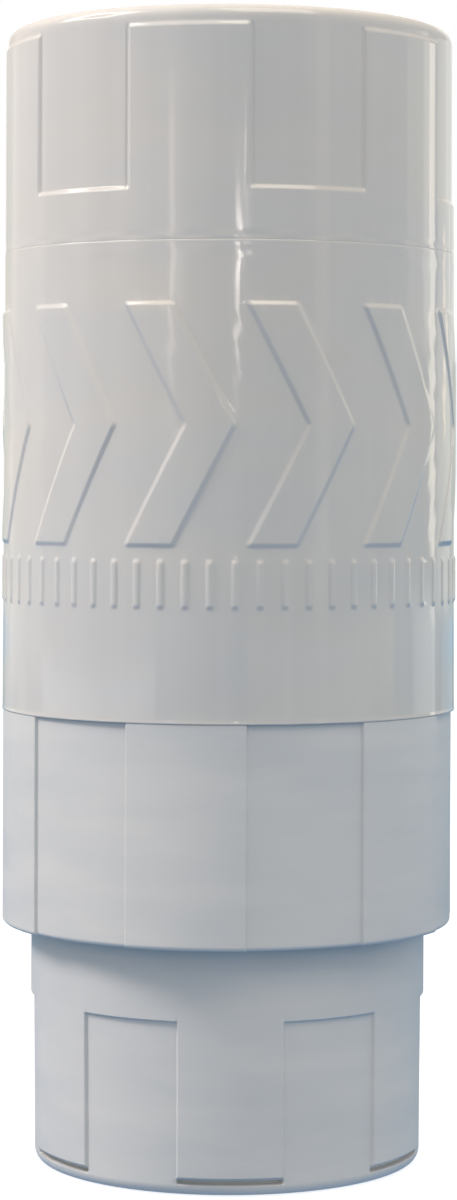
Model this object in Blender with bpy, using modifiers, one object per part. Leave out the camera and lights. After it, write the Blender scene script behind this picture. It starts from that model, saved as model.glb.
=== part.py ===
"""Screw-down pressurizer for three padel balls, modelled closed, as it stands on a table.

A threaded canister holds the balls. A long sleeve, closed at the top, screws down over it
and squeezes the air round the balls. Two O-rings near the canister's rim run in the smooth
bore of the sleeve's pressure liner, and a split guide ring below them keeps the two halves
in line. Ridges of a three-start thread on the canister engage a nut keyed into the matte
grip collar at the sleeve's mouth.

Metres, +Z up, origin at the middle of the underside. The front is at -Y.
"""

import math

import bmesh
import bpy

MM = 0.001

# outer heights, mm
HEIGHT = 232.0
CAP_Z0 = 186.3
CAP_PANEL_Z0, CAP_PANEL_Z1 = 196.5, 228.1
SLEEVE_Z0, SLEEVE_Z1 = 92.5, 186.0
COLLAR_Z0, COLLAR_Z1 = 48.7, 92.2
BASE_TOP = 51.9
BASE_PANEL_Z0, BASE_PANEL_Z1 = 3.4, 33.9

# outer radii, mm
SLEEVE_R0, SLEEVE_R1 = 46.8, 46.5  # bottom and top of the glossy sleeve: the mould's draft
CAP_SHOULDER_R = 46.0
COLLAR_R = 46.7
BASE_R, BASE_R_LOW = 40.7, 40.45
RECESS = 0.5  # depth of the sunk grip panels

# roundings, mm
CAP_ROUND, COLLAR_ROUND, BASE_ROUND = 2.5, 1.8, 2.9

# grip panels: six raised and six sunk, 30 degrees each; degrees from the front to an edge
SLEEVE_TURN = 4.5
BASE_TURN = 16.0

# raised turning arrows round the sleeve
ARROWS = 12
ARROW_Z0, ARROW_Z1 = 127.0, 174.0
ARROW_LIFT = 0.45
ARROW_ARM, ARROW_REACH = 12.0, 15.0  # degrees: width of the band, and tail to point

# thread, mm: the sleeve rises LEAD in one turn
LEAD = 30.0
STARTS = 3
PITCH = LEAD / STARTS
TUBE_R = 38.9  # outside of the canister between the ridges
RIDGE_R = 41.4  # crest of the canister's ridges
RIDGE_Z0, RIDGE_Z1 = 57.0, 129.5
NUT_BORE_R = 41.9  # inside of the nut between its ridges
NUT_RIDGE_R = 40.2  # crest of the nut's ridges
NUT_R = 43.4
NUT_Z0, NUT_Z1 = 53.5, 83.0

# pressure side, mm
BORE_R = 40.0  # smooth bore of the liner
HEAD_R = 39.6  # canister's head, which slides in it
BALL_R = 35.7  # inside of the canister: padel balls are 63.5 to 67.7 mm
RIM_Z = 221.6
O_RING_Z = (206.5, 213.5)
O_RING_R, O_RING_THICK = 38.5, 2.4
GUIDE_Z0, GUIDE_Z1 = 192.4, 199.2

N_OUT = 48  # facets round the outer pieces: four to a panel
N_IN = 36  # facets round the inner pieces


def clear_scene():
    for obj in list(bpy.data.objects):
        bpy.data.objects.remove(obj, do_unlink=True)


def collection(name):
    made = bpy.data.collections.new(name)
    bpy.context.scene.collection.children.link(made)
    return made


def material(name, colour, rough, metal=0.0):
    mat = bpy.data.materials.new(name)
    mat.use_nodes = True
    shader = mat.node_tree.nodes["Principled BSDF"]
    shader.inputs["Base Color"].default_value = (*colour, 1.0)
    shader.inputs["Roughness"].default_value = rough
    shader.inputs["Metallic"].default_value = metal
    return mat


def arc(cr, cz, radius, start, end, steps):
    """Points of an arc in the profile plane, mm; degrees from outward towards up."""
    angles = [math.radians(start + (end - start) * i / steps) for i in range(steps + 1)]
    return [(cr + radius * math.cos(a), cz + radius * math.sin(a)) for a in angles]


def link(name, mesh, where):
    obj = bpy.data.objects.new(name, mesh)
    where.objects.link(obj)
    return obj


def turned(name, profile, where, facets, ring=False, turn=0.0):
    """A turned piece. The profile, mm, runs down its outer side. A ring's profile closes on
    itself, and any other begins and ends on the axis."""
    mesh = bpy.data.meshes.new(name)
    edges = [(i, i + 1) for i in range(len(profile) - 1)]
    if ring:
        edges.append((len(profile) - 1, 0))
    mesh.from_pydata([(r * MM, 0.0, z * MM) for r, z in profile], edges, [])
    obj = link(name, mesh, where)
    obj.rotation_euler = (0.0, 0.0, math.radians(turn))
    screw = obj.modifiers.new("turn", "SCREW")
    screw.axis = "Z"
    screw.angle = math.tau
    screw.steps = facets
    screw.render_steps = facets
    screw.use_merge_vertices = True
    screw.merge_threshold = 0.00005
    screw.use_smooth_shade = False
    return obj


def swept(name, section, where, degrees, steps, rise=0.0, first=0.0):
    """A closed section, mm, spun about Z and raised evenly: a sector block or a ridge."""
    bm = bmesh.new()
    a = math.radians(first)
    verts = [bm.verts.new((r * MM * math.cos(a), r * MM * math.sin(a), z * MM)) for r, z in section]
    face = bm.faces.new(verts)
    bmesh.ops.spin(
        bm,
        geom=[face, *face.edges, *face.verts],
        cent=(0.0, 0.0, 0.0),
        axis=(0.0, 0.0, 1.0),
        dvec=(0.0, 0.0, rise * MM / steps),
        angle=math.radians(degrees),
        steps=steps,
        use_duplicate=False,
    )
    bmesh.ops.recalc_face_normals(bm, faces=bm.faces)
    mesh = bpy.data.meshes.new(name)
    bm.to_mesh(mesh)
    bm.free()
    return link(name, mesh, where)


def as_one(name, objects, where):
    """Helper blocks that don't touch, as one mesh object that is never rendered."""
    bm = bmesh.new()
    for obj in objects:
        bm.from_mesh(obj.data)
        bpy.data.objects.remove(obj, do_unlink=True)
    mesh = bpy.data.meshes.new(name)
    bm.to_mesh(mesh)
    bm.free()
    made = link(name, mesh, where)
    made.hide_render = True
    made.display_type = "WIRE"
    return made


def boolean(obj, other, operation):
    mod = obj.modifiers.new(operation.lower(), "BOOLEAN")
    mod.operation = operation
    mod.solver = "EXACT"
    mod.object = other


def sectors(name, section, where, centre, width, steps):
    """Six equal sector blocks, 60 degrees apart; one is centred `centre` degrees from the front."""
    blocks = [
        swept(f"{name}_{i}", section, where, width, steps, first=-90.0 + centre - width / 2 + 60.0 * i)
        for i in range(6)
    ]
    return as_one(name, blocks, where)


def ridges(name, r_foot, foot, r_crest, crest, z0, z1, first, where):
    """The starts of the thread: equal ridges of trapezoid section, whose middle climbs from
    z0 at `first` degrees to about z1."""
    steps = int((z1 - z0) / LEAD * N_IN)
    section = [(r_foot, z0 - foot / 2), (r_crest, z0 - crest / 2), (r_crest, z0 + crest / 2), (r_foot, z0 + foot / 2)]
    blocks = [
        swept(f"{name}_{i}", section, where, 360.0 * steps / N_IN, steps, LEAD * steps / N_IN, first + 360.0 * i / STARTS)
        for i in range(STARTS)
    ]
    return as_one(name, blocks, where)


def sleeve_r(z):
    """Outer radius of the sleeve at height z."""
    return SLEEVE_R0 + (SLEEVE_R1 - SLEEVE_R0) * (z - SLEEVE_Z0) / (SLEEVE_Z1 - SLEEVE_Z0)


def arrow(name, tail, where):
    """One raised arrowhead wrapped round the sleeve: a band that leans forward up to the
    middle of its height and back again above it, its ends cut level."""
    middle = (ARROW_Z0 + ARROW_Z1) / 2
    half = (ARROW_Z1 - ARROW_Z0) / 2
    rows, columns = 6, 2
    bm = bmesh.new()
    inner, outer = [], []
    for i in range(rows + 1):
        z = ARROW_Z0 + 2 * half * i / rows
        forward = ARROW_REACH * (1.0 - abs(z - middle) / half)
        angles = [math.radians(tail + forward + ARROW_ARM * j / columns) for j in range(columns + 1)]
        for grid, r in ((inner, sleeve_r(z) - 0.6), (outer, sleeve_r(z) + ARROW_LIFT)):
            grid.append([bm.verts.new((r * MM * math.cos(a), r * MM * math.sin(a), z * MM)) for a in angles])
    for i in range(rows):
        for j in range(columns):
            for grid in (inner, outer):
                bm.faces.new((grid[i][j], grid[i][j + 1], grid[i + 1][j + 1], grid[i + 1][j]))
        for j in (0, columns):
            bm.faces.new((inner[i][j], outer[i][j], outer[i + 1][j], inner[i + 1][j]))
    for j in range(columns):
        for i in (0, rows):
            bm.faces.new((inner[i][j], outer[i][j], outer[i][j + 1], inner[i][j + 1]))
    bmesh.ops.recalc_face_normals(bm, faces=bm.faces)
    mesh = bpy.data.meshes.new(name)
    bm.to_mesh(mesh)
    bm.free()
    return link(name, mesh, where)


def build():
    clear_scene()
    parts = collection("ball_pressurizer")
    cutters = collection("cutters")
    gloss = material("gloss_white", (0.62, 0.625, 0.63), 0.20)
    matte = material("matte_white", (0.60, 0.61, 0.62), 0.55)
    tube_white = material("canister_white", (0.66, 0.665, 0.66), 0.35)
    natural = material("liner_natural", (0.70, 0.70, 0.67), 0.30)
    acetal = material("nut_acetal", (0.74, 0.73, 0.68), 0.40)
    rubber = material("black_rubber", (0.025, 0.025, 0.027), 0.65)
    foam = material("grey_foam", (0.10, 0.105, 0.11), 0.90)

    frames = {}
    for name in ("canister_frame", "guide_axis", "screw_axis"):
        frames[name] = bpy.data.objects.new(name, None)
        parts.objects.link(frames[name])
    sleeve_turn = -90.0 + SLEEVE_TURN
    base_turn = -90.0 + BASE_TURN
    made = []

    def keep(obj, mat, frame):
        obj.data.materials.append(mat)
        obj.parent = frames[frame]
        made.append(obj)
        return obj

    # ---- canister ------------------------------------------------------------------------
    # matte grip base: a cup fixed over the foot of the canister tube
    foot_r = BASE_R_LOW - RECESS
    base = turned(
        "grip_base",
        [(0.0, 3.0), (38.1, 3.0), (38.7, 3.6), (38.7, BASE_TOP), (BASE_R - 0.5, BASE_TOP), (BASE_R, BASE_TOP - 0.5)]
        + [(BASE_R, BASE_PANEL_Z1), (BASE_R_LOW, BASE_PANEL_Z0), (foot_r, BASE_PANEL_Z0)]
        + arc(foot_r - BASE_ROUND, BASE_ROUND, BASE_ROUND, 0.0, -90.0, 3)
        + [(31.0, 0.0), (30.2, 0.8), (0.0, 0.8)],
        parts, N_OUT, turn=base_turn,
    )
    section = [(foot_r + 0.03, BASE_PANEL_Z0 - 1.0), (BASE_R + 5, BASE_PANEL_Z0 - 1.0), (BASE_R + 5, BASE_PANEL_Z1), (BASE_R - RECESS, BASE_PANEL_Z1)]
    boolean(base, sectors("base_panels", section, cutters, BASE_TURN + 15.0, 30.0, 4), "DIFFERENCE")
    keep(base, matte, "canister_frame")

    # canister tube, with the grooves of its seals and guide ring, and the thread's ridges
    grooves = []
    for z in sorted(O_RING_Z, reverse=True):
        grooves += [(HEAD_R, z + 1.6), (O_RING_R - 1.5, z + 1.6), (O_RING_R - 1.5, z - 1.6), (HEAD_R, z - 1.6)]
    grooves += [(HEAD_R, GUIDE_Z1 + 0.4), (38.0, GUIDE_Z1 + 0.4), (38.0, GUIDE_Z0 - 0.4), (HEAD_R, GUIDE_Z0 - 0.4)]
    tube = turned(
        "canister_tube",
        [(0.0, 6.3), (35.1, 6.3), (BALL_R, 6.9), (BALL_R, RIM_Z - 0.6), (BALL_R + 0.6, RIM_Z), (HEAD_R - 0.8, RIM_Z), (HEAD_R, RIM_Z - 0.8)]
        + grooves
        + [(HEAD_R, 187.6), (TUBE_R, 186.2), (TUBE_R, 52.2), (38.4, 52.2), (38.4, 3.9), (37.8, 3.3), (0.0, 3.3)],
        parts, N_IN,
    )
    boolean(tube, ridges("canister_ridges", 38.5, 6.0, RIDGE_R, 3.6, RIDGE_Z0, RIDGE_Z1, 0.0, cutters), "UNION")
    keep(tube, tube_white, "canister_frame")

    for name, z in zip(("o_ring_lower", "o_ring_upper"), O_RING_Z):
        ring = turned(name, list(reversed(arc(O_RING_R, z, O_RING_THICK / 2, 0.0, 315.0, 7))), parts, N_IN, ring=True)
        keep(ring, rubber, "canister_frame")

    cushion = turned("bottom_cushion", [(0.0, 9.6), (35.0, 9.6), (35.2, 9.4), (35.2, 6.8), (35.0, 6.6), (0.0, 6.6)], parts, N_IN)
    keep(cushion, foam, "canister_frame")

    # split guide ring, sprung into its groove; it turns with the sleeve
    section = [(38.3, GUIDE_Z0), (39.68, GUIDE_Z0), (39.68, GUIDE_Z1), (38.3, GUIDE_Z1)]
    keep(swept("guide_ring", section, parts, 356.0, N_IN, first=92.0), acetal, "guide_axis")

    # ---- sleeve --------------------------------------------------------------------------
    # glossy cap: closed top, six sunk panels that run out over the shoulder
    cap = turned(
        "top_cap",
        [(0.0, HEIGHT)]
        + arc(CAP_SHOULDER_R - CAP_ROUND, HEIGHT - CAP_ROUND, CAP_ROUND, 90.0, 0.0, 3)
        + [(CAP_SHOULDER_R, CAP_PANEL_Z1), (CAP_SHOULDER_R + RECESS - 0.05, CAP_PANEL_Z1), (SLEEVE_R1, CAP_Z0)]
        + [(43.95, CAP_Z0), (43.95, 184.0), (43.0, 184.0), (43.0, 229.0), (0.0, 229.0)],
        parts, N_OUT, turn=sleeve_turn,
    )
    r = CAP_SHOULDER_R + 0.03
    section = [(r, CAP_PANEL_Z0), (r + 5, CAP_PANEL_Z0), (r + 5, CAP_PANEL_Z1 + 0.8), (r, CAP_PANEL_Z1 + 0.8)]
    boolean(cap, sectors("cap_panels", section, cutters, SLEEVE_TURN + 15.0, 30.0, 4), "DIFFERENCE")
    keep(cap, gloss, "screw_axis")

    # glossy sleeve, with the inner ledge that carries the liner
    sleeve = turned(
        "outer_sleeve",
        [(SLEEVE_R1, SLEEVE_Z1), (SLEEVE_R0, SLEEVE_Z0), (44.3, SLEEVE_Z0), (44.3, 176.4), (42.95, 177.9), (42.95, 180.7), (44.3, 180.7), (44.3, SLEEVE_Z1)],
        parts, N_OUT, ring=True, turn=sleeve_turn,
    )
    arrows = [arrow(f"arrow_{i}", sleeve_turn + i * 360.0 / ARROWS, cutters) for i in range(ARROWS)]
    boolean(sleeve, as_one("arrows", arrows, cutters), "UNION")
    keep(sleeve, gloss, "screw_axis")

    # matte grip collar: its spigot goes up inside the sleeve, and its bore takes the nut
    collar = turned(
        "grip_collar",
        [(COLLAR_R, COLLAR_Z1)]
        + arc(COLLAR_R - COLLAR_ROUND, COLLAR_Z0 + COLLAR_ROUND, COLLAR_ROUND, 0.0, -90.0, 3)
        + [(43.75, COLLAR_Z0), (43.75, 83.3), (42.3, 83.3), (42.3, 104.0), (43.95, 104.0), (43.95, COLLAR_Z1)],
        parts, N_OUT, ring=True, turn=sleeve_turn,
    )
    r = COLLAR_R - RECESS
    section = [(r, COLLAR_Z0 - 3), (r + 5, COLLAR_Z0 - 3), (r + 5, COLLAR_Z1 + 3), (r, COLLAR_Z1 + 3)]
    boolean(collar, sectors("collar_panels", section, cutters, SLEEVE_TURN + 15.0, 30.0, 4), "DIFFERENCE")
    section = [(43.2, COLLAR_Z0 - 3), (44.75, COLLAR_Z0 - 3), (44.75, 80.4), (43.2, 80.4)]
    boolean(collar, sectors("key_slots", section, cutters, SLEEVE_TURN + 45.0, 15.0, 2), "DIFFERENCE")
    keep(collar, matte, "screw_axis")

    # nut: its ridges run midway between the canister's, and six keys stop it from turning
    nut = turned(
        "thread_nut",
        [(NUT_R, NUT_Z1), (NUT_R, NUT_Z0), (NUT_BORE_R, NUT_Z0), (NUT_BORE_R, NUT_Z1)],
        parts, N_IN, ring=True,
    )
    boolean(nut, ridges("nut_ridges", 42.6, 6.2, NUT_RIDGE_R, 3.8, RIDGE_Z0, NUT_Z1 - 3.2, 180.0 / STARTS, cutters), "UNION")
    section = [(42.9, 60.0), (44.4, 60.0), (44.4, 80.0), (42.9, 80.0)]
    boolean(nut, sectors("keys", section, cutters, SLEEVE_TURN + 45.0, 14.0, 2), "UNION")
    keep(nut, acetal, "screw_axis")

    retainer = turned("nut_retainer", [(43.4, 53.2), (43.4, 49.4), (42.0, 49.4), (42.0, 53.2)], parts, N_IN, ring=True)
    keep(retainer, acetal, "screw_axis")

    # pressure liner: closed at the top, hung on the sleeve's ledge by its flange
    liner = turned(
        "pressure_liner",
        [(0.0, 228.6), (42.0, 228.6), (42.6, 228.0), (42.6, 183.7), (44.0, 183.7), (44.0, 181.0), (42.6, 181.0)]
        + [(42.6, 133.0), (41.2, 133.0), (BORE_R, 135.5), (BORE_R, 225.4), (0.0, 225.4)],
        parts, N_IN,
    )
    keep(liner, natural, "screw_axis")

    cushion = turned("top_cushion", [(0.0, 225.1), (38.7, 225.1), (38.9, 224.9), (38.9, 222.1), (38.7, 221.9), (0.0, 221.9)], parts, N_IN)
    keep(cushion, foam, "screw_axis")

    for obj in made:
        obj.data.shade_smooth()
        obj.data.set_sharp_from_angle(angle=math.radians(30.0))


build()
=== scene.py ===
"""Looks of the screw-down ball pressurizer: finely moulded shells, plastics, light and camera."""

import math

import bmesh
import bpy
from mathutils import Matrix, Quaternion, Vector, noise


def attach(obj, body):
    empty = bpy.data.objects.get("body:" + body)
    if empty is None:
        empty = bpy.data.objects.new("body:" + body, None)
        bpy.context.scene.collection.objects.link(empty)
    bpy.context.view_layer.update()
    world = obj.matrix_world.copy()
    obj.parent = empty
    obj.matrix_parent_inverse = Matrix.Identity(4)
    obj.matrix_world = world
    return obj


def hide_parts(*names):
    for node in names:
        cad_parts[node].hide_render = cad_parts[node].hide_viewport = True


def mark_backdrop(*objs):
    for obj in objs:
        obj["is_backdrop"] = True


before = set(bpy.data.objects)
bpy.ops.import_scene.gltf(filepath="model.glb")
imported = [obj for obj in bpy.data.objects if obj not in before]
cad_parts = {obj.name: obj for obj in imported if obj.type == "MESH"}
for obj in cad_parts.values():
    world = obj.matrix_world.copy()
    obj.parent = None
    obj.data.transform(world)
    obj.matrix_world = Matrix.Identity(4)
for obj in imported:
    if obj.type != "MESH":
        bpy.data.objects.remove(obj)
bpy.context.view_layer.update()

MM = 0.001

# ---- sizes, mm, as in the frame ------------------------------------------------------------
HEIGHT = 232.0
CAP_Z0, CAP_PANEL_Z0, CAP_PANEL_Z1 = 186.3, 196.5, 228.1
SLEEVE_Z0, SLEEVE_Z1 = 92.5, 186.28
COLLAR_Z0, COLLAR_Z1 = 48.7, 92.2
BASE_TOP, BASE_PANEL_Z0, BASE_PANEL_Z1 = 51.9, 3.4, 33.9
SLEEVE_R0, SLEEVE_R1 = 46.8, 46.5
CAP_SHOULDER_R, COLLAR_R = 46.0, 46.7
BASE_R, BASE_R_LOW = 40.7, 40.45
CAP_STEP = 0.44  # head panels
RECESS = 0.65  # grip panels; the foot stands back by FOOT_STEP
FOOT_STEP = 0.65
CAP_TURN, SLEEVE_TURN, BASE_TURN = 4.8, 4.5, 16.0  # degrees from the front to a panel edge
ARROWS, ARROW_Z0, ARROW_Z1, ARROW_R = 12, 127.0, 174.0, 47.025
ARROW_ARM, ARROW_REACH = 12.0, 15.0
RIB_Z0, RIB_Z1, RIB_R, RIBS = 115.0, 124.0, 47.02, 60
JOINT_GAP = 0.005  # between shells that are pressed or bonded together

# how the outline of a moulded step rises across an edge: distance in mm, share of the step
EDGE = ((-0.66, 0.0), (-0.44, 0.05), (-0.18, 0.26), (0.16, 0.74), (0.40, 0.95), (0.62, 1.0))
CRISP_EDGE = ((-0.30, 0.0), (-0.19, 0.05), (-0.10, 0.20), (0.10, 0.82), (0.19, 0.96), (0.30, 1.0))
CAP_SIDE = ((-0.60, 0.0), (-0.40, 0.06), (-0.16, 0.30), (0.08, 0.82), (0.28, 1.24), (0.46, 1.42), (0.64, 1.30), (0.88, 1.06), (1.10, 1.0))
ROUND_EDGE = ((-0.32, 0.0), (-0.20, 0.07), (-0.04, 0.36), (0.14, 0.68), (0.36, 0.92), (0.60, 1.0))


def rise(x, edge=EDGE):
    """Share of a step's height at x mm inside its edge."""
    if x <= edge[0][0]:
        return 0.0
    for (x0, y0), (x1, y1) in zip(edge, edge[1:]):
        if x <= x1:
            return y0 + (y1 - y0) * (x - x0) / (x1 - x0)
    return 1.0


def wrap(a):
    return (a + 180.0) % 360.0 - 180.0


def columns(edges, radius, filler, edge=EDGE, slant=1.0):
    """Angles in degrees round a piece: a cluster at each edge, fillers elsewhere."""
    held = [(e + x / slant / radius * 180.0 / math.pi) % 360.0 for e in edges for x, _ in edge]
    return merged(held, filler)


def merged(held, filler, near=0.35):
    held = sorted(set(round(a % 360.0, 6) for a in held))
    out = list(held)
    for a in filler:
        a %= 360.0
        if all(abs(wrap(a - h)) > near for h in held):
            out.append(round(a, 6))
    return sorted(set(out))


def spread(lo, hi, step):
    n = max(1, int(math.ceil((hi - lo) / step)))
    return [lo + (hi - lo) * i / n for i in range(n + 1)]


def levels(marks, lo, hi, step, edge=EDGE):
    """Heights from hi down to lo: clusters at the marks, and fillers no further apart than step."""
    held = sorted({lo, hi, *(m + x for m in marks for x, _ in edge)})
    held = [z for z in held if lo <= z <= hi]
    out = []
    for a, b in zip(held, held[1:]):
        out += spread(a, b, step)[:-1]
    out.append(held[-1])
    return out[::-1]


def arc(cr, cz, radius, start, end, steps):
    angles = [math.radians(start + (end - start) * i / steps) for i in range(steps + 1)]
    return [(cr + radius * math.cos(a), cz + radius * math.sin(a)) for a in angles]


def eased(profile, radius=0.3, steps=3):
    """A plain profile with its corners rounded by about radius mm; ends on the axis stay."""
    out = []
    n = len(profile)
    ring = profile[0][0] > 1e-6
    for i, (r, z) in enumerate(profile):
        if not ring and i in (0, n - 1):
            out.append((r, z))
            continue
        p, q = profile[i - 1], profile[(i + 1) % n]
        a = Vector((p[0] - r, p[1] - z))
        b = Vector((q[0] - r, q[1] - z))
        cut = min(radius, a.length * 0.42, b.length * 0.42)
        a.normalize()
        b.normalize()
        if cut < 0.02 or abs(a.dot(b)) > 0.995:
            out.append((r, z))
            continue
        for k in range(steps + 1):
            t = k / steps
            u = (1 - t) ** 2
            w = t * t
            out.append((r + cut * (u * a.x + w * b.x), z + cut * (u * a.y + w * b.y)))
    return out


def finish_mesh(name, bm, sharp):
    bmesh.ops.remove_doubles(bm, verts=bm.verts, dist=1e-7)
    mesh = bpy.data.meshes.new(name)
    bm.normal_update()
    bm.to_mesh(mesh)
    bm.free()
    mesh.shade_smooth()
    mesh.set_sharp_from_angle(angle=math.radians(sharp))
    obj = bpy.data.objects.new(name, mesh)
    bpy.context.scene.collection.objects.link(obj)
    return obj


def weighted(obj):
    mod = obj.modifiers.new("normals", "WEIGHTED_NORMAL")
    mod.keep_sharp = True
    mod.weight = 60
    return obj


def skin(name, rows, ring, sharp=50.0):
    """A closed turned skin. rows is [(angles, place)], outer side top to bottom, then inner side
    bottom to top; place(angle) gives (radius, angle, height) in mm and degrees. Angles None is a
    point on the axis. Where two rows differ in their number of columns, one's angles are a
    subset of the other's, and the faces between them have more corners."""
    bm = bmesh.new()
    loops = []
    for angles, place in rows:
        if angles is None:
            r, a, z = place(0.0)
            loops.append(([None], [bm.verts.new((0.0, 0.0, z * MM))]))
            continue
        verts = []
        for angle in angles:
            r, a, z = place(angle)
            t = math.radians(a - 90.0)
            verts.append(bm.verts.new((r * MM * math.cos(t), r * MM * math.sin(t), z * MM)))
        loops.append((angles, verts))
    pairs = list(zip(loops, loops[1:]))
    if ring:
        pairs.append((loops[-1], loops[0]))
    for (aa, av), (ba, bv) in pairs:
        if len(av) == 1 or len(bv) == 1:
            many = bv if len(av) == 1 else av
            pole = av[0] if len(av) == 1 else bv[0]
            for i, v in enumerate(many):
                w = many[(i + 1) % len(many)]
                bm.faces.new((pole, v, w) if len(av) == 1 else (pole, w, v))
        elif len(av) == len(bv):
            n = len(av)
            for i in range(n):
                j = (i + 1) % n
                bm.faces.new((av[i], bv[i], bv[j], av[j]))
        else:
            many, few, few_a, many_a = (av, bv, ba, aa) if len(av) > len(bv) else (bv, av, aa, ba)
            at = {round(a, 6): k for k, a in enumerate(many_a)}
            where = [at[round(a, 6)] for a in few_a]
            for i in range(len(few)):
                j = (i + 1) % len(few)
                lo, hi = where[i], where[j]
                if hi <= lo:
                    hi += len(many)
                run = [many[k % len(many)] for k in range(lo, hi + 1)]
                if many is av:
                    bm.faces.new([few[i], few[j], *reversed(run)])
                else:
                    bm.faces.new([*run, few[j], few[i]])
    return finish_mesh(name, bm, sharp)


def plain_rows(profile, angles):
    rows = []
    for r, z in profile:
        if r < 1e-6:
            rows.append((None, lambda a, z=z: (0.0, a, z)))
        else:
            rows.append((angles, lambda a, r=r, z=z: (r, a, z)))
    return rows


def turned(name, profile, facets, radius=0.3, sharp=40.0):
    ring = profile[0][0] > 1e-6
    angles = [round(360.0 * i / facets, 6) for i in range(facets)]
    return weighted(skin(name, plain_rows(eased(profile, radius), angles), ring, sharp))


def sleeve_r(z):
    return SLEEVE_R0 + (SLEEVE_R1 - SLEEVE_R0) * (z - SLEEVE_Z0) / (SLEEVE_Z1 - SLEEVE_Z0)


def ripple(a, z, size, depth, tall=1.6):
    """A moulding's slight unevenness, mm; tall is its height over its width."""
    t = math.radians(a)
    return depth * noise.noise(Vector((46.0 * math.cos(t), 46.0 * math.sin(t), z / tall)) / size)


def waves(a, z):
    return ripple(a, z, 12.0, 0.009, 3.2)


def kinks(a, z):
    """Close to the joint of cap and sleeve the walls pull in and out a little."""
    d = abs(z - SLEEVE_Z1)
    return ripple(a, z, 6.5, 0.034, 0.55) * math.exp(-((d / 4.6) ** 2))


def pull(a, z):
    """The walls are drawn in and out beside that joint, in step all round."""
    d = z - SLEEVE_Z1
    swing = ((-9.0, 0.0), (-5.6, 0.16), (-3.1, 0.9), (-1.4, 0.2), (-0.8, 0.0), (0.3, -0.5), (0.8, -0.95), (2.0, 0.42), (4.5, 0.1), (9.0, 0.0))
    for (x0, y0), (x1, y1) in zip(swing, swing[1:]):
        if x0 <= d <= x1:
            return 0.042 * (y0 + (y1 - y0) * (d - x0) / (x1 - x0)) * math.sin(math.radians(24.0 * (a - 2.8)))
    return 0.0


def sunk_edges(turn):
    return [turn + 30.0 * k for k in range(12)]


def sunk_share(a, turn, radius, edge=CRISP_EDGE):
    """1 in the middle of a sunk panel, 0 on a raised one: six of each, 30 degrees wide."""
    off = wrap((a - turn - 15.0) * 6.0) / 6.0
    return rise((15.0 - abs(off)) * radius * math.pi / 180.0, edge)


# ---- glossy cap ----------------------------------------------------------------------------
def cap_offset(a, z):
    ring = rise(CAP_PANEL_Z0 - z)
    pad = (1.0 - sunk_share(a, CAP_TURN, 46.0, CAP_SIDE)) * rise(CAP_PANEL_Z1 - z)
    return 0.47 - CAP_STEP * (1.0 - ring) * (1.0 - pad)


def make_cap():
    fine = merged([e + s * x / 46.0 * 180.0 / math.pi for e, s in zip(sunk_edges(CAP_TURN), (1, -1) * 6) for x, _ in CAP_SIDE], spread(0, 358, 1.6))
    coarse = fine[::3]
    rows = [(None, lambda a: (0.0, a, HEIGHT - 0.35))]
    for r, z in ((1.2, HEIGHT - 0.35), (1.5, HEIGHT - 0.22), (1.7, HEIGHT - 0.04), (2.1, HEIGHT), (8, HEIGHT), (20, HEIGHT), (32, HEIGHT), (40.5, HEIGHT)):
        rows.append((coarse, lambda a, r=r, z=z: (r, a, z)))
    for r, z in arc(CAP_SHOULDER_R - 2.5, HEIGHT - 2.5, 2.5, 90.0, 0.0, 9):
        rows.append((fine, lambda a, r=r, z=z: (r, a, z)))
    for z in levels([CAP_PANEL_Z0, CAP_PANEL_Z1, SLEEVE_Z1 + 1.0, SLEEVE_Z1 + 2.5], SLEEVE_Z1 + 0.3, HEIGHT - 2.9, 1.6):
        rows.append((fine, lambda a, z=z: (CAP_SHOULDER_R + (SLEEVE_R1 - CAP_SHOULDER_R - 0.47) * (HEIGHT - z) / (HEIGHT - CAP_Z0) + cap_offset(a, z) + pull(a, z) * min(1.0, (z - SLEEVE_Z1) / 0.6) + (waves(a, z) + kinks(a, z)) * rise(HEIGHT - 4.5 - z) * rise(z - SLEEVE_Z1 - 1.0), a, z)))
    for r, z in ((SLEEVE_R1 - 0.002, SLEEVE_Z1 + 0.14), (SLEEVE_R1 - 0.008, SLEEVE_Z1 + JOINT_GAP)):
        rows.append((fine, lambda a, r=r, z=z: (r, a, z)))
    for r, z in ((43.95, SLEEVE_Z1 + JOINT_GAP), (43.95, 184.2), (43.75, 184.0), (43.0, 184.0), (43.0, 228.2), (42.2, 229.0)):
        rows.append((coarse, lambda a, r=r, z=z: (r, a, z)))
    rows.append((None, lambda a: (0.0, a, 229.0)))
    return weighted(skin("cap_shell", rows, False))


# ---- glossy sleeve -------------------------------------------------------------------------
ARROW_MID, ARROW_HALF = (ARROW_Z0 + ARROW_Z1) / 2, (ARROW_Z1 - ARROW_Z0) / 2
ARROW_SLANT = math.cos(math.atan(math.radians(ARROW_REACH) * 46.7 / ARROW_HALF))


def lean(z):
    """Degrees by which the arrows run ahead at height z; the sleeve's columns lean with them."""
    return ARROW_REACH * max(0.0, 1.0 - abs(z - ARROW_MID) / ARROW_HALF)


def sleeve_offset(u, z):
    """Relief at column u, which is SLEEVE_TURN at a panel edge."""
    v = (u - SLEEVE_TURN) % 30.0
    x = min(v, ARROW_ARM - v) if v < 21.0 else v - 30.0
    arrow = rise(x * 46.7 * math.pi / 180.0 * ARROW_SLANT) * rise(z - ARROW_Z0) * rise(ARROW_Z1 - z)
    w = (u - SLEEVE_TURN) % 6.0 - 3.0
    rib = rise(0.6 - abs(w) * 46.7 * math.pi / 180.0, ROUND_EDGE) * rise(z - RIB_Z0) * rise(RIB_Z1 - z)
    return (ARROW_R - sleeve_r(z)) * arrow + (RIB_R - sleeve_r(z)) * rib


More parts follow.
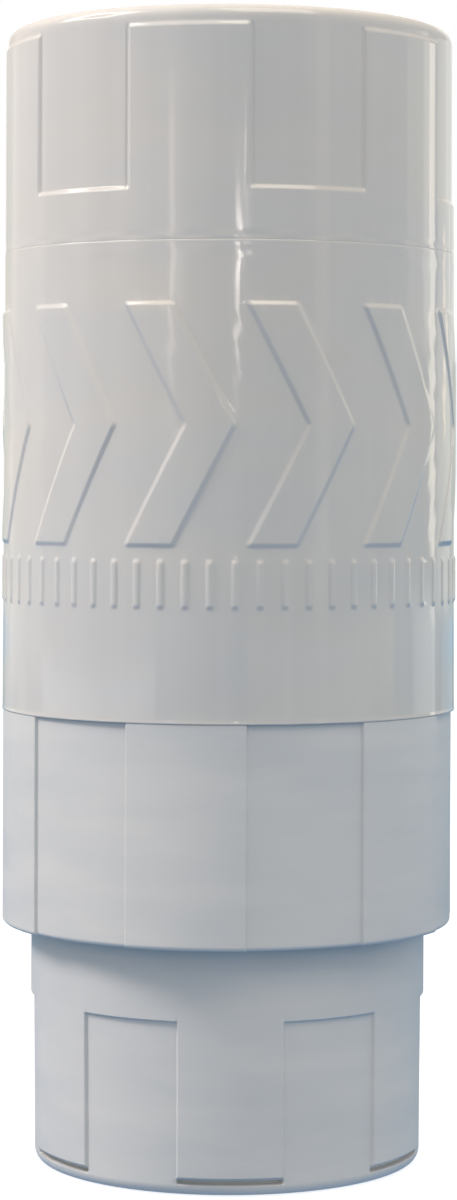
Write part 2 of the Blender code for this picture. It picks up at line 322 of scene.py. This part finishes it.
def make_sleeve():
    degree = 180.0 / math.pi / 46.7
    held = []
    for k in range(ARROWS):
        for e, sign in ((0.0, 1), (ARROW_ARM, 1)):
            held += [SLEEVE_TURN + 30.0 * k + e + sign * x * degree / ARROW_SLANT for x, _ in EDGE]
    for k in range(RIBS):
        centre = SLEEVE_TURN + 3.0 + 6.0 * k
        held += [centre + s * (0.6 - x) * degree for s in (-1, 1) for x, _ in ROUND_EDGE]
    fine = merged(held, [SLEEVE_TURN + 1.5 * k for k in range(240)], 0.5)
    coarse = fine[::6]
    marks = levels([ARROW_Z0, ARROW_Z1, SLEEVE_Z1 - 1.8, SLEEVE_Z1 - 3.2], ARROW_Z0 + EDGE[0][0], SLEEVE_Z1 - 0.9, 1.6)
    marks += levels([RIB_Z0, RIB_Z1], SLEEVE_Z0 + 0.9, ARROW_Z0 + EDGE[0][0], 2.4)[1:]
    marks = sorted({round(z, 5) for z in marks + [ARROW_MID]}, reverse=True)
    rows = []
    for r, z in ((SLEEVE_R1 - 0.045, SLEEVE_Z1), (SLEEVE_R1 + 0.02, SLEEVE_Z1 - 0.10), (SLEEVE_R1 + 0.055, SLEEVE_Z1 - 0.24), (SLEEVE_R1 + 0.065, SLEEVE_Z1 - 0.45), (SLEEVE_R1 + 0.06, SLEEVE_Z1 - 0.85)):
        rows.append((fine, lambda a, r=r, z=z: (r, a, z)))
    for z in marks:
        rows.append((fine, lambda a, z=z: (
            sleeve_r(z) + 0.06 * max(0.0, 1.0 - (SLEEVE_Z1 - z) / 30.0) + sleeve_offset(a, z) + pull(a + lean(z), z)
            + (waves(a + lean(z), z) + kinks(a + lean(z), z)) * rise(SLEEVE_Z1 - 1.6 - z) * rise(z - SLEEVE_Z0 - 1.6),
            a + lean(z), z)))
    for r, z in ((SLEEVE_R0 + 0.01, SLEEVE_Z0 + 0.70), (SLEEVE_R0 + 0.03, SLEEVE_Z0 + 0.48), (SLEEVE_R0 + 0.055, SLEEVE_Z0 + 0.26), (SLEEVE_R0 + 0.055, SLEEVE_Z0 + 0.12), (SLEEVE_R0 + 0.02, SLEEVE_Z0 + 0.03), (SLEEVE_R0, SLEEVE_Z0)):
        rows.append((fine, lambda a, r=r, z=z: (r, a, z)))
    for r, z in ((44.3, SLEEVE_Z0), (44.3, 176.4), (42.95, 177.9), (42.95, 180.7), (44.3, 180.7), (44.3, SLEEVE_Z1)):
        rows.append((coarse, lambda a, r=r, z=z: (r, a, z)))
    return weighted(skin("sleeve_shell", rows, True))


# ---- matte collar --------------------------------------------------------------------------
def make_collar():
    keys = [SLEEVE_TURN + 45.0 + 60.0 * k + s * 7.5 for k in range(6) for s in (-1, 1)]
    fine = columns(sunk_edges(SLEEVE_TURN), COLLAR_R, spread(0, 358, 1.6), CRISP_EDGE)
    fine = sorted(set(fine) | {round(k % 360.0, 6) for k in keys} | {round((k + s * 0.06) % 360.0, 6) for k in keys for s in (-1, 1)})

    def out(a):
        return RECESS * sunk_share(a, SLEEVE_TURN, COLLAR_R)

    rows = []
    top = SLEEVE_Z0 - JOINT_GAP
    for r, z in ((COLLAR_R - 0.14, top), (COLLAR_R - 0.05, top - 0.05), (COLLAR_R - 0.01, top - 0.15)):
        rows.append((fine, lambda a, r=r, z=z: (r - out(a), a, z)))
    for z in spread(COLLAR_Z0 + 1.0, top - 0.4, 2.5)[::-1]:
        rows.append((fine, lambda a, z=z: (COLLAR_R - out(a) + ripple(a, z, 14.0, 0.04), a, z)))
    for r, z in arc(COLLAR_R - 0.8, COLLAR_Z0 + 0.8, 0.8, 0.0, -90.0, 6):
        rows.append((fine, lambda a, r=r, z=z: (r - out(a), a, z)))

    def keyed(a, r):
        """The bore at its key slots: 15 degrees wide, centred on the raised panels."""
        off = abs(wrap((a - SLEEVE_TURN - 45.0) * 6.0) / 6.0)
        return r if off > 7.53 else 44.75 if off < 7.47 else (r + 44.75) / 2

    for z in (COLLAR_Z0, 60.0, 70.0, 80.35):
        rows.append((fine, lambda a, z=z: (keyed(a, 43.75) if z > COLLAR_Z0 else min(keyed(a, 43.75), 44.35 if sunk_share(a, SLEEVE_TURN, COLLAR_R) > 0 else 44.75), a, z)))
    rows.append((fine, lambda a: (43.75, a, 80.4)))
    for r, z in ((43.75, 83.3), (42.3, 83.3), (42.3, 103.7), (42.6, 104.0), (43.65, 104.0), (43.95, 103.6), (43.95, top)):
        rows.append((fine, lambda a, r=r, z=z: (r, a, z)))
    return weighted(skin("collar_shell", rows, True))


# ---- matte base ----------------------------------------------------------------------------
def make_base():
    fine = columns(sunk_edges(BASE_TURN), BASE_R, spread(0, 358, 1.8), CRISP_EDGE)
    coarse = fine[::3]
    foot_r = BASE_R_LOW - FOOT_STEP

    def drop(a, z):
        panel = sunk_share(a, BASE_TURN, BASE_R) * rise(BASE_PANEL_Z1 - z, CRISP_EDGE)
        foot = rise(BASE_PANEL_Z0 - z, CRISP_EDGE)
        return max(RECESS * panel, FOOT_STEP * foot)

    def side(z):
        share = min(1.0, max(0.0, (z - BASE_PANEL_Z0) / (BASE_PANEL_Z1 - BASE_PANEL_Z0)))
        return BASE_R_LOW + (BASE_R - BASE_R_LOW) * share

    rows = []
    for r, z in ((38.7, BASE_TOP), (BASE_R - 0.6, BASE_TOP), (BASE_R - 0.25, BASE_TOP - 0.12), (BASE_R - 0.05, BASE_TOP - 0.42)):
        rows.append((fine, lambda a, r=r, z=z: (r, a, z)))
    for z in levels([BASE_PANEL_Z0, BASE_PANEL_Z1], 3.1, BASE_TOP - 0.8, 2.4, CRISP_EDGE):
        rows.append((fine, lambda a, z=z: (side(z) - drop(a, z) + ripple(a, z, 14.0, 0.03) * rise(z - 4.5), a, z)))

    def groove(a, z):
        """Each raised panel overhangs the foot a little."""
        return 1.35 * (1.0 - sunk_share(a, BASE_TURN, BASE_R)) * math.exp(-(((z - 2.74) / 0.60) ** 8))

    def toe(z):
        """The foot's rounding is 2.1 mm tall and 1.4 mm deep."""
        low = max(0.0, (2.1 - z) / 2.1)
        return 1.4 * (1.0 - math.sqrt(max(0.0, 1.0 - low * low)))

    for z in spread(1.3, 2.95, 0.11)[::-1]:
        rows.append((fine, lambda a, z=z: (foot_r - toe(z) - groove(a, z), a, z)))
    for t in spread(22.4, 90.0, 6.7)[1:]:
        r, z = foot_r - 1.4 * (1.0 - math.cos(math.radians(t))), 2.1 * (1.0 - math.sin(math.radians(t)))
        rows.append((fine, lambda a, r=r, z=z: (r, a, z)))
    for r, z in ((33.0, 0.0), (31.2, 0.0), (30.9, 0.12), (30.2, 0.8), (24.0, 0.8), (12.0, 0.8), (3.2, 0.8), (2.9, 0.9), (2.6, 1.15)):
        rows.append((coarse, lambda a, r=r, z=z: (r, a, z)))
    rows.append((None, lambda a: (0.0, a, 1.15)))
    outer = rows
    inner = [(None, lambda a: (0.0, a, 3.0))]
    for r, z in ((38.0, 3.0), (38.7, 3.7), (38.7, BASE_TOP - 0.3)):
        inner.append((coarse, lambda a, r=r, z=z: (r, a, z)))
    return weighted(skin("base_shell", inner + outer, False))


# ---- inner pieces --------------------------------------------------------------------------
LEAD, STARTS, PITCH = 30.0, 3, 10.0


def ridges(name, section, z0, z1, first, step=5.0):
    """Three closed ridges that climb LEAD a turn; their ends slope into the wall."""
    n = int((z1 - z0) / LEAD * 360.0 / step)
    bm = bmesh.new()
    foot = section[0][0]
    for s in range(STARTS):
        loops = []
        for i in range(n + 1):
            fade = min(1.0, i / 2.0, (n - i) / 2.0)
            t = math.radians(first + 120.0 * s + step * i)
            z = z0 + LEAD * step * i / 360.0
            loops.append([bm.verts.new(((foot + (r - foot) * (0.25 + 0.75 * fade)) * MM * math.cos(t), (foot + (r - foot) * (0.25 + 0.75 * fade)) * MM * math.sin(t), (z + dz) * MM)) for r, dz in section])
        for one, two in zip(loops, loops[1:]):
            for k in range(len(section)):
                m = (k + 1) % len(section)
                bm.faces.new((one[k], one[m], two[m], two[k]))
        bm.faces.new(loops[0][::-1])
        bm.faces.new(loops[-1])
    bmesh.ops.recalc_face_normals(bm, faces=bm.faces)
    return finish_mesh(name, bm, 40.0)


def united(obj, other):
    mod = obj.modifiers.new("union", "BOOLEAN")
    mod.operation = "UNION"
    mod.solver = "EXACT"
    mod.object = other
    bpy.context.view_layer.update()
    mesh = bpy.data.meshes.new_from_object(obj.evaluated_get(bpy.context.evaluated_depsgraph_get()))
    obj.modifiers.clear()
    bm = bmesh.new()
    bm.from_mesh(mesh)
    bmesh.ops.remove_doubles(bm, verts=bm.verts, dist=1e-6)
    bmesh.ops.dissolve_degenerate(bm, edges=bm.edges, dist=1e-7)
    bm.to_mesh(mesh)
    bm.free()
    old = obj.data
    obj.data = mesh
    bpy.data.meshes.remove(old)
    bpy.data.objects.remove(other, do_unlink=True)
    obj.data.shade_smooth()
    obj.data.set_sharp_from_angle(angle=math.radians(35.0))
    return weighted(obj)


def trapezoid(foot_r, foot, crest_r, crest, bevel=0.35):
    d = bevel if crest_r > foot_r else -bevel
    return [(foot_r, -foot / 2), (crest_r - d, -crest / 2 - 0.12), (crest_r, -crest / 2 + 0.25), (crest_r, crest / 2 - 0.25), (crest_r - d, crest / 2 + 0.12), (foot_r, foot / 2)]


def make_tube():
    grooves = []
    for z in (213.5, 206.5):
        grooves += [(39.6, z + 1.6), (37.0, z + 1.6), (37.0, z - 1.6), (39.6, z - 1.6)]
    grooves += [(39.6, 199.6), (38.0, 199.6), (38.0, 192.0), (39.6, 192.0)]
    profile = (
        [(0.0, 6.3), (35.1, 6.3), (35.7, 6.9), (35.7, 221.0), (36.3, 221.6), (38.8, 221.6), (39.6, 220.8)]
        + grooves
        + [(39.6, 187.6), (38.9, 186.2), (38.9, 150.0), (38.9, 52.2), (38.4, 52.2), (38.4, 3.9), (37.8, 3.3), (0.0, 3.3)]
    )
    angles = [round(2.5 * i, 6) for i in range(144)]
    tube = skin("canister_shell", plain_rows(eased(profile, 0.25, 2), angles), False, 40.0)
    return united(tube, ridges("canister_ridges", trapezoid(38.5, 6.0, 41.4, 3.6), 57.0, 129.5, 0.0, 2.5 * 2))


def make_nut():
    profile = [(43.4, 83.0), (43.4, 53.5), (41.9, 53.5), (41.9, 83.0)]
    angles = [round(3.0 * i, 6) for i in range(120)]
    nut = skin("nut_shell", plain_rows(eased(profile, 0.25, 2), angles), True, 40.0)
    nut = united(nut, ridges("nut_ridges", trapezoid(42.6, 6.2, 40.2, 3.8), 57.0, 79.8, 60.0, 6.0))
    nut.modifiers.clear()
    bm = bmesh.new()
    for k in range(6):
        centre = SLEEVE_TURN + 45.0 + 60.0 * k - 90.0
        loops = []
        for i in range(5):
            t = math.radians(centre - 7.0 + 3.5 * i)
            inset = 0.3 if i in (0, 4) else 0.0
            loops.append([bm.verts.new((r * MM * math.cos(t), r * MM * math.sin(t), z * MM)) for r, z in ((42.9, 60.0), (44.1 - inset, 60.0), (44.4 - inset, 60.3), (44.4 - inset, 79.7), (44.1 - inset, 80.0), (42.9, 80.0))])
        for one, two in zip(loops, loops[1:]):
            for j in range(6):
                m = (j + 1) % 6
                bm.faces.new((one[j], one[m], two[m], two[j]))
        bm.faces.new(loops[0][::-1])
        bm.faces.new(loops[-1])
    bmesh.ops.recalc_face_normals(bm, faces=bm.faces)
    return united(nut, finish_mesh("nut_keys", bm, 40.0))


def make_guide_ring():
    """Closed ring section with a slanted split."""
    section = eased([(39.68, 199.2), (39.68, 192.4), (38.3, 192.4), (38.3, 199.2)], 0.25, 2)
    bm = bmesh.new()
    loops = []
    for i in range(121):
        loops.append([])
        for r, z in section:
            a = 92.0 + 356.0 * i / 120.0 + (z - 195.8) * 0.28
            t = math.radians(a)
            loops[-1].append(bm.verts.new((r * MM * math.cos(t), r * MM * math.sin(t), z * MM)))
    n = len(section)
    for one, two in zip(loops, loops[1:]):
        for j in range(n):
            m = (j + 1) % n
            bm.faces.new((one[j], one[m], two[m], two[j]))
    bm.faces.new(loops[0][::-1])
    bm.faces.new(loops[-1])
    bmesh.ops.recalc_face_normals(bm, faces=bm.faces)
    return weighted(finish_mesh("guide_band", bm, 40.0))


def make_o_ring(name, z):
    """Round section with the fine flash line that a moulded seal has at its waist."""
    section = []
    for k in range(28):
        a = -2.0 * math.pi * k / 28
        flash = 0.035 if k in (0, 14) else 0.0
        section.append((38.5 + (1.2 + flash) * math.cos(a), z + (1.2 + flash) * math.sin(a)))
    angles = [round(2.5 * i, 6) for i in range(144)]
    return skin(name, plain_rows(section, angles), True, 60.0)


# ---- materials -----------------------------------------------------------------------------
def shader(name, colour, rough):
    mat = bpy.data.materials.new(name)
    mat.use_nodes = True
    tree = mat.node_tree
    node = tree.nodes["Principled BSDF"]
    node.inputs["Base Color"].default_value = (*colour, 1.0)
    node.inputs["Roughness"].default_value = rough
    return mat, tree, node


def noise_node(tree, scale, detail=2.0, stretch=(1, 1, 1), rough=0.5):
    coords = tree.nodes.new("ShaderNodeTexCoord")
    mapping = tree.nodes.new("ShaderNodeMapping")
    mapping.inputs["Scale"].default_value = stretch
    tex = tree.nodes.new("ShaderNodeTexNoise")
    tex.inputs["Scale"].default_value = scale
    tex.inputs["Detail"].default_value = detail
    tex.inputs["Roughness"].default_value = rough
    tree.links.new(coords.outputs["Object"], mapping.inputs["Vector"])
    tree.links.new(mapping.outputs["Vector"], tex.inputs["Vector"])
    return tex.outputs["Fac"]


def ranged(tree, value, lo, hi, from_lo=0.3, from_hi=0.7):
    node = tree.nodes.new("ShaderNodeMapRange")
    node.inputs["From Min"].default_value = from_lo
    node.inputs["From Max"].default_value = from_hi
    node.inputs["To Min"].default_value = lo
    node.inputs["To Max"].default_value = hi
    tree.links.new(value, node.inputs["Value"])
    return node.outputs["Result"]


def tinted(tree, node, value, one, two):
    mix = tree.nodes.new("ShaderNodeMix")
    mix.data_type = "RGBA"
    mix.inputs["A"].default_value = (*one, 1.0)
    mix.inputs["B"].default_value = (*two, 1.0)
    tree.links.new(value, mix.inputs["Factor"])
    tree.links.new(mix.outputs["Result"], node.inputs["Base Color"])


def clouded(tree, node, value, one, two):
    """Multiplies the base colour by a tint that drifts from one to two."""
    drift = tree.nodes.new("ShaderNodeMix")
    drift.data_type = "RGBA"
    drift.inputs["A"].default_value = (*one, 1.0)
    drift.inputs["B"].default_value = (*two, 1.0)
    tree.links.new(ranged(tree, value, 0.0, 1.0), drift.inputs["Factor"])
    product = tree.nodes.new("ShaderNodeMix")
    product.data_type = "RGBA"
    product.blend_type = "MULTIPLY"
    product.inputs["Factor"].default_value = 1.0
    socket = node.inputs["Base Color"]
    tree.links.new(socket.links[0].from_socket, product.inputs["A"])
    tree.links.new(drift.outputs["Result"], product.inputs["B"])
    tree.links.new(product.outputs["Result"], socket)


def bumped(tree, node, layers):
    """layers: (height, distance in metres, strength)."""
    last = None
    for height, distance, strength in layers:
        bump = tree.nodes.new("ShaderNodeBump")
        bump.inputs["Distance"].default_value = distance
        bump.inputs["Strength"].default_value = strength
        tree.links.new(height, bump.inputs["Height"])
        if last is not None:
            tree.links.new(last, bump.inputs["Normal"])
        last = bump.outputs["Normal"]
    tree.links.new(last, node.inputs["Normal"])


def gloss_plastic(name, colour, rough=(0.055, 0.11)):
    mat, tree, node = shader(name, colour, 0.15)
    lighter = tuple(min(1.0, c * 1.035) for c in colour)
    darker = tuple(c * 0.965 for c in colour)
    cloud = ranged(tree, noise_node(tree, 24.0, 4.0, (1, 1, 2.2)), 0.0, 1.0)
    streak = ranged(tree, noise_node(tree, 230.0, 3.0, (1, 1, 0.018)), 0.0, 1.0)
    both = tree.nodes.new("ShaderNodeMix")
    both.inputs["Factor"].default_value = 0.55
    tree.links.new(cloud, both.inputs["A"])
    tree.links.new(streak, both.inputs["B"])
    tinted(tree, node, both.outputs["Result"], darker, lighter)
    clouded(tree, node, noise_node(tree, 15.0, 3.0, (1, 1, 3.2)), (1.026, 1.006, 0.978), (0.962, 0.985, 1.016))
    tree.links.new(ranged(tree, noise_node(tree, 160.0, 4.0, (1, 1, 0.35)), *rough), node.inputs["Roughness"])
    bumped(tree, node, [
        (noise_node(tree, 260.0, 2.0, (1, 1, 0.06)), 0.00001, 0.6),
        (noise_node(tree, 1300.0, 2.0), 0.000002, 0.6),
    ])
    return mat


def matte_plastic(name, colour, rough=(0.36, 0.50), grain=0.000022):
    mat, tree, node = shader(name, colour, 0.52)
    lighter = tuple(min(1.0, c * k) for c, k in zip(colour, (1.06, 1.05, 1.04)))
    darker = tuple(c * k for c, k in zip(colour, (0.925, 0.945, 0.965)))
    cloud = ranged(tree, noise_node(tree, 30.0, 5.0), 0.0, 1.0)
    smear = ranged(tree, noise_node(tree, 26.0, 3.0, (1, 1, 5.0)), 0.0, 1.0, 0.33, 0.67)
    both = tree.nodes.new("ShaderNodeMix")
    both.inputs["Factor"].default_value = 0.7
    tree.links.new(cloud, both.inputs["A"])
    tree.links.new(smear, both.inputs["B"])
    tinted(tree, node, both.outputs["Result"], darker, lighter)
    tree.links.new(ranged(tree, noise_node(tree, 210.0, 4.0), *rough), node.inputs["Roughness"])
    bumped(tree, node, [
        (noise_node(tree, 1900.0, 3.0, rough=0.6), grain, 0.8),
        (noise_node(tree, 120.0, 2.0), 0.00006, 0.5),
    ])
    return mat


def rubber_material(name):
    mat, tree, node = shader(name, (0.022, 0.022, 0.024), 0.5)
    tinted(tree, node, ranged(tree, noise_node(tree, 300.0, 4.0), 0.0, 1.0), (0.016, 0.016, 0.017), (0.032, 0.032, 0.034))
    tree.links.new(ranged(tree, noise_node(tree, 500.0, 4.0), 0.38, 0.62), node.inputs["Roughness"])
    bumped(tree, node, [(noise_node(tree, 2600.0, 3.0), 0.00002, 0.7)])
    return mat


def foam_material(name):
    mat, tree, node = shader(name, (0.09, 0.092, 0.098), 0.9)
    coords = tree.nodes.new("ShaderNodeTexCoord")
    cells = tree.nodes.new("ShaderNodeTexVoronoi")
    cells.inputs["Scale"].default_value = 1400.0
    tree.links.new(coords.outputs["Object"], cells.inputs["Vector"])
    pores = ranged(tree, cells.outputs["Distance"], 0.0, 1.0, 0.05, 0.6)
    tinted(tree, node, pores, (0.055, 0.057, 0.062), (0.125, 0.128, 0.135))
    bumped(tree, node, [(pores, 0.00012, 0.9)])
    return mat


GREY = (0.545, 0.521, 0.500)
gloss = gloss_plastic("gloss_shell_plastic", GREY)
matte = matte_plastic("matte_grip_plastic", (0.575, 0.560, 0.547))
tube_plastic = gloss_plastic("canister_satin_plastic", (0.50, 0.50, 0.495), (0.26, 0.38))
liner_plastic = gloss_plastic("liner_smooth_plastic", (0.55, 0.55, 0.52), (0.14, 0.24))
acetal = matte_plastic("acetal_natural", (0.60, 0.59, 0.54), (0.30, 0.44), 0.00001)
rubber = rubber_material("nitrile_rubber")
foam = foam_material("closed_cell_foam")


def place(obj, node, body, slot, mat):
    obj.data.materials.clear()
    obj.data.materials.append(mat)
    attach(obj, body)
    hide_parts(node)
    return obj


place(make_cap(), "top_cap", "sleeve", "gloss_shell", gloss)
place(make_sleeve(), "outer_sleeve", "sleeve", "gloss_shell", gloss)
place(make_collar(), "grip_collar", "sleeve", "matte_grip", matte)
place(make_base(), "grip_base", "canister", "matte_grip", matte)
place(make_tube(), "canister_tube", "canister", "canister_plastic", tube_plastic)
place(make_o_ring("seal_lower", 206.5), "o_ring_lower", "canister", "seal_rubber", rubber)
place(make_o_ring("seal_upper", 213.5), "o_ring_upper", "canister", "seal_rubber", rubber)
place(make_guide_ring(), "guide_ring", "guide", "acetal", acetal)
place(make_nut(), "thread_nut", "sleeve", "acetal", acetal)
place(turned("retainer_ring", [(43.4, 53.2), (43.4, 49.4), (42.0, 49.4), (42.0, 53.2)], 144, 0.5), "nut_retainer", "sleeve", "acetal", acetal)
place(
    turned(
        "liner_shell",
        [(0.0, 228.6), (41.9, 228.6), (42.6, 227.9), (42.6, 183.7), (44.0, 183.7), (44.0, 181.0), (42.6, 181.0), (42.6, 133.0), (41.2, 133.0), (40.0, 135.5), (40.0, 225.4), (0.0, 225.4)],
        144, 0.4,
    ),
    "pressure_liner", "sleeve", "liner_plastic", liner_plastic,
)
pads = [
    place(turned("floor_pad", [(0.0, 9.6), (35.2, 9.6), (35.2, 6.6), (0.0, 6.6)], 96, 0.9), "bottom_cushion", "canister", "cushion_foam", foam),
    place(turned("head_pad", [(0.0, 225.1), (38.9, 225.1), (38.9, 221.9), (0.0, 221.9)], 96, 0.9), "top_cushion", "sleeve", "cushion_foam", foam),
]

# ---- camera: level, as far off and as long a lens as the photograph's perspective gives ------
camera = bpy.data.objects.new("camera", bpy.data.cameras.new("camera"))
bpy.context.scene.collection.objects.link(camera)
camera.location = (0.0, -0.638, 0.1405)
camera.rotation_euler = (math.radians(90.0), math.radians(-0.19), 0.0)
camera.data.sensor_width = 36.0
camera.data.lens = 92.06
camera.data.shift_x = -0.0004
camera.data.shift_y = -0.1033
camera.data.clip_start = 0.01
bpy.context.scene.camera = camera

# ---- floor ---------------------------------------------------------------------------------
def make_floor():
    bm = bmesh.new()
    bmesh.ops.create_circle(bm, cap_ends=True, radius=6.0, segments=96)
    mesh = bpy.data.meshes.new("floor")
    bm.to_mesh(mesh)
    bm.free()
    floor = bpy.data.objects.new("floor", mesh)
    bpy.context.scene.collection.objects.link(floor)
    floor.location.z = -0.0002
    mat, tree, node = shader("floor_paint", (0.24, 0.25, 0.26), 0.9)
    node.inputs["Specular IOR Level"].default_value = 0.1
    tinted(tree, node, noise_node(tree, 3.0, 2.0), (0.237, 0.247, 0.257), (0.243, 0.253, 0.263))
    node.inputs["Emission Color"].default_value = (0.985, 0.993, 1.0, 1.0)
    node.inputs["Emission Strength"].default_value = 0.82
    floor.data.materials.append(mat)
    floor.visible_diffuse = False
    floor.visible_glossy = False
    floor.visible_shadow = False
    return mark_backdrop(floor)


make_floor()

# ---- light ---------------------------------------------------------------------------------
def sky():
    """Bright, slightly warm room above and a cool one below; the backdrop itself is white."""
    world = bpy.data.worlds.new("studio")
    bpy.context.scene.world = world
    world.use_nodes = True
    tree = world.node_tree
    out = tree.nodes["World Output"]
    room = tree.nodes["Background"]
    coords = tree.nodes.new("ShaderNodeTexCoord")
    parts = tree.nodes.new("ShaderNodeSeparateXYZ")
    tree.links.new(coords.outputs["Generated"], parts.inputs["Vector"])

    def ramp(value, lo, hi, stops):
        ranged_value = ranged(tree, value, 0.0, 1.0, lo, hi)
        node = tree.nodes.new("ShaderNodeValToRGB")
        elements = node.color_ramp.elements
        while len(elements) > 1:
            elements.remove(elements[-1])
        for i, (at, colour) in enumerate(stops):
            element = elements[0] if i == 0 else elements.new((at - lo) / (hi - lo))
            element.position = (at - lo) / (hi - lo)
            element.color = (*colour, 1.0)
        tree.links.new(ranged_value, node.inputs["Fac"])
        return node.outputs["Color"]

    height = ramp(parts.outputs["Z"], -1.0, 1.0, [
        (-1.00, (0.48, 0.51, 0.56)),
        (-0.75, (0.27, 0.42, 0.67)),
        (-0.45, (0.02, 0.205, 0.47)),
        (-0.078, (0.06, 0.25, 0.40)),
        (-0.070, (0.44, 0.50, 0.51)),
        (-0.060, (0.44, 0.50, 0.51)),
        (-0.056, (0.34, 0.51, 0.62)),
        (-0.047, (0.38, 0.53, 0.63)),
        (-0.040, (0.63, 0.68, 0.61)),
        (0.20, (0.76, 0.71, 0.65)),
        (1.00, (0.92, 0.885, 0.86)),
    ])
    side = ramp(parts.outputs["X"], -1.0, 1.0, [
        (-1.0, (1.18, 1.12, 1.08)),
        (-0.6, (1.14, 1.10, 1.07)),
        (0.0, (0.96, 0.96, 0.96)),
        (0.6, (1.06, 1.06, 1.06)),
        (1.0, (1.22, 1.22, 1.22)),
    ])
    product = tree.nodes.new("ShaderNodeMix")
    product.data_type = "RGBA"
    product.blend_type = "MULTIPLY"
    product.inputs["Factor"].default_value = 1.0
    tree.links.new(height, product.inputs["A"])
    tree.links.new(side, product.inputs["B"])
    tree.links.new(product.outputs["Result"], room.inputs["Color"])
    room.inputs["Strength"].default_value = 1.0
    backdrop = tree.nodes.new("ShaderNodeBackground")
    backdrop.inputs["Color"].default_value = (1.0, 1.0, 1.0, 1.0)
    path = tree.nodes.new("ShaderNodeLightPath")
    mix = tree.nodes.new("ShaderNodeMixShader")
    tree.links.new(path.outputs["Is Camera Ray"], mix.inputs["Fac"])
    tree.links.new(room.outputs["Background"], mix.inputs[1])
    tree.links.new(backdrop.outputs["Background"], mix.inputs[2])
    tree.links.new(mix.outputs["Shader"], out.inputs["Surface"])


sky()


def lamp(name, azimuth, height, distance, width, tall, radiance, colour, aim=None, lean=0.0):
    """A rectangular lamp. Azimuth 0 is the front, positive to the viewer's right."""
    data = bpy.data.lights.new(name, "AREA")
    data.shape = "RECTANGLE"
    data.size = width
    data.size_y = tall
    data.energy = radiance * math.pi * width * tall
    data.color = colour
    obj = bpy.data.objects.new(name, data)
    bpy.context.scene.collection.objects.link(obj)
    a = math.radians(azimuth - 90.0)
    obj.location = (distance * math.cos(a), distance * math.sin(a), height)
    to = Vector((0.0, 0.0, height if aim is None else aim)) - obj.location
    turn = to.to_track_quat("-Z", "Y") @ Quaternion((0.0, 0.0, 1.0), math.radians(lean))
    obj.rotation_euler = turn.to_euler()
    obj.visible_camera = False
    return obj


lamp("key", -84.0, 1.20, 1.19, 0.42, 0.42, 40.4, (1.0, 0.934, 0.886), 0.13).visible_glossy = False
lamp("key_shine", -84.0, 1.20, 1.19, 0.92, 0.92, 6.2, (1.0, 0.975, 0.97), 0.13).visible_diffuse = False
lamp("overhead", 28.0, 1.42, 0.84, 0.95, 0.95, 3.2, (1.0, 0.92, 0.76), 0.13)
lamp("line_left", -28.6, 0.2925, 1.5, 0.070, 0.205, 2.4, (1.0, 0.83, 0.74))
lamp("line_left_low", -26.6, 0.278, 1.5, 0.16, 0.045, 1.0, (1.0, 0.92, 0.87))
lamp("line_front_head", 8.4, 0.356, 1.5, 0.026, 0.090, 9.5, (1.0, 0.90, 0.84), lean=-57.0)
lamp("line_front", 3.8, 0.274, 1.5, 0.052, 0.118, 6.0, (1.0, 0.86, 0.78))
lamp("line_front_core", 3.9, 0.294, 1.5, 0.044, 0.036, 17.0, (1.0, 0.93, 0.86))
lamp("band_right", 47.0, 0.35, 1.5, 0.20, 0.6, 0.55, (1.0, 0.84, 0.70))
lamp("glow_right", 111.0, 0.40, 1.5, 0.58, 0.34, 0.6, (1.0, 0.90, 0.68))
lamp("glow_right_core", 118.5, 0.40, 1.5, 0.20, 0.34, 0.63, (1.0, 0.92, 0.84))
lamp("line_right_near", 123.9, 0.265, 1.5, 0.16, 0.43, 2.5, (1.0, 0.89, 0.73))
lamp("line_right_far", 141.0, 0.265, 1.5, 0.58, 0.43, 0.48, (1.0, 0.93, 0.82))
lamp("line_right_edge", 140.6, 0.236, 1.43, 0.09, 0.13, 1.25, (1.0, 0.72, 0.48))
lamp("edge_blue", 148.0, 0.00, 1.5, 0.60, 0.09, 0.25, (0.40, 0.75, 1.0))
lamp("side_blue", 112.0, -0.05, 1.5, 0.9, 0.5, 0.14, (0.05, 0.45, 1.0)).visible_glossy = False
lamp("low_right", 117.0, 0.0, 1.5, 0.56, 0.13, 0.9, (1.0, 0.97, 0.93)).visible_diffuse = False
lamp("low_left", -141.0, 0.0, 1.5, 0.95, 0.13, 0.15, (1.0, 0.90, 0.80)).visible_diffuse = False
lamp("low_front", 50.0, 0.008, 1.5, 2.60, 0.070, 0.74, (1.0, 0.74, 0.30)).visible_diffuse = False
lamp("low_front_left", -72.0, -0.010, 1.5, 2.10, 0.036, 1.20, (1.0, 0.98, 0.94)).visible_diffuse = False
lamp("backdrop", 172.0, 0.53, 1.5, 1.20, 0.62, 0.32, (1.0, 1.0, 0.98)).visible_diffuse = False
lamp("band_left", -126.0, 0.30, 1.5, 1.10, 0.60, 0.26, (1.0, 0.80, 0.60))
lamp("band_left_near", -126.0, 0.26, 1.5, 0.13, 0.55, 0.34, (1.0, 0.94, 0.90))
lamp("band_left_far", -142.0, 0.26, 1.5, 0.12, 0.55, 0.20, (1.0, 0.91, 0.86))

scene = bpy.context.scene
scene.view_settings.view_transform = "Standard"
scene.view_settings.look = "None"
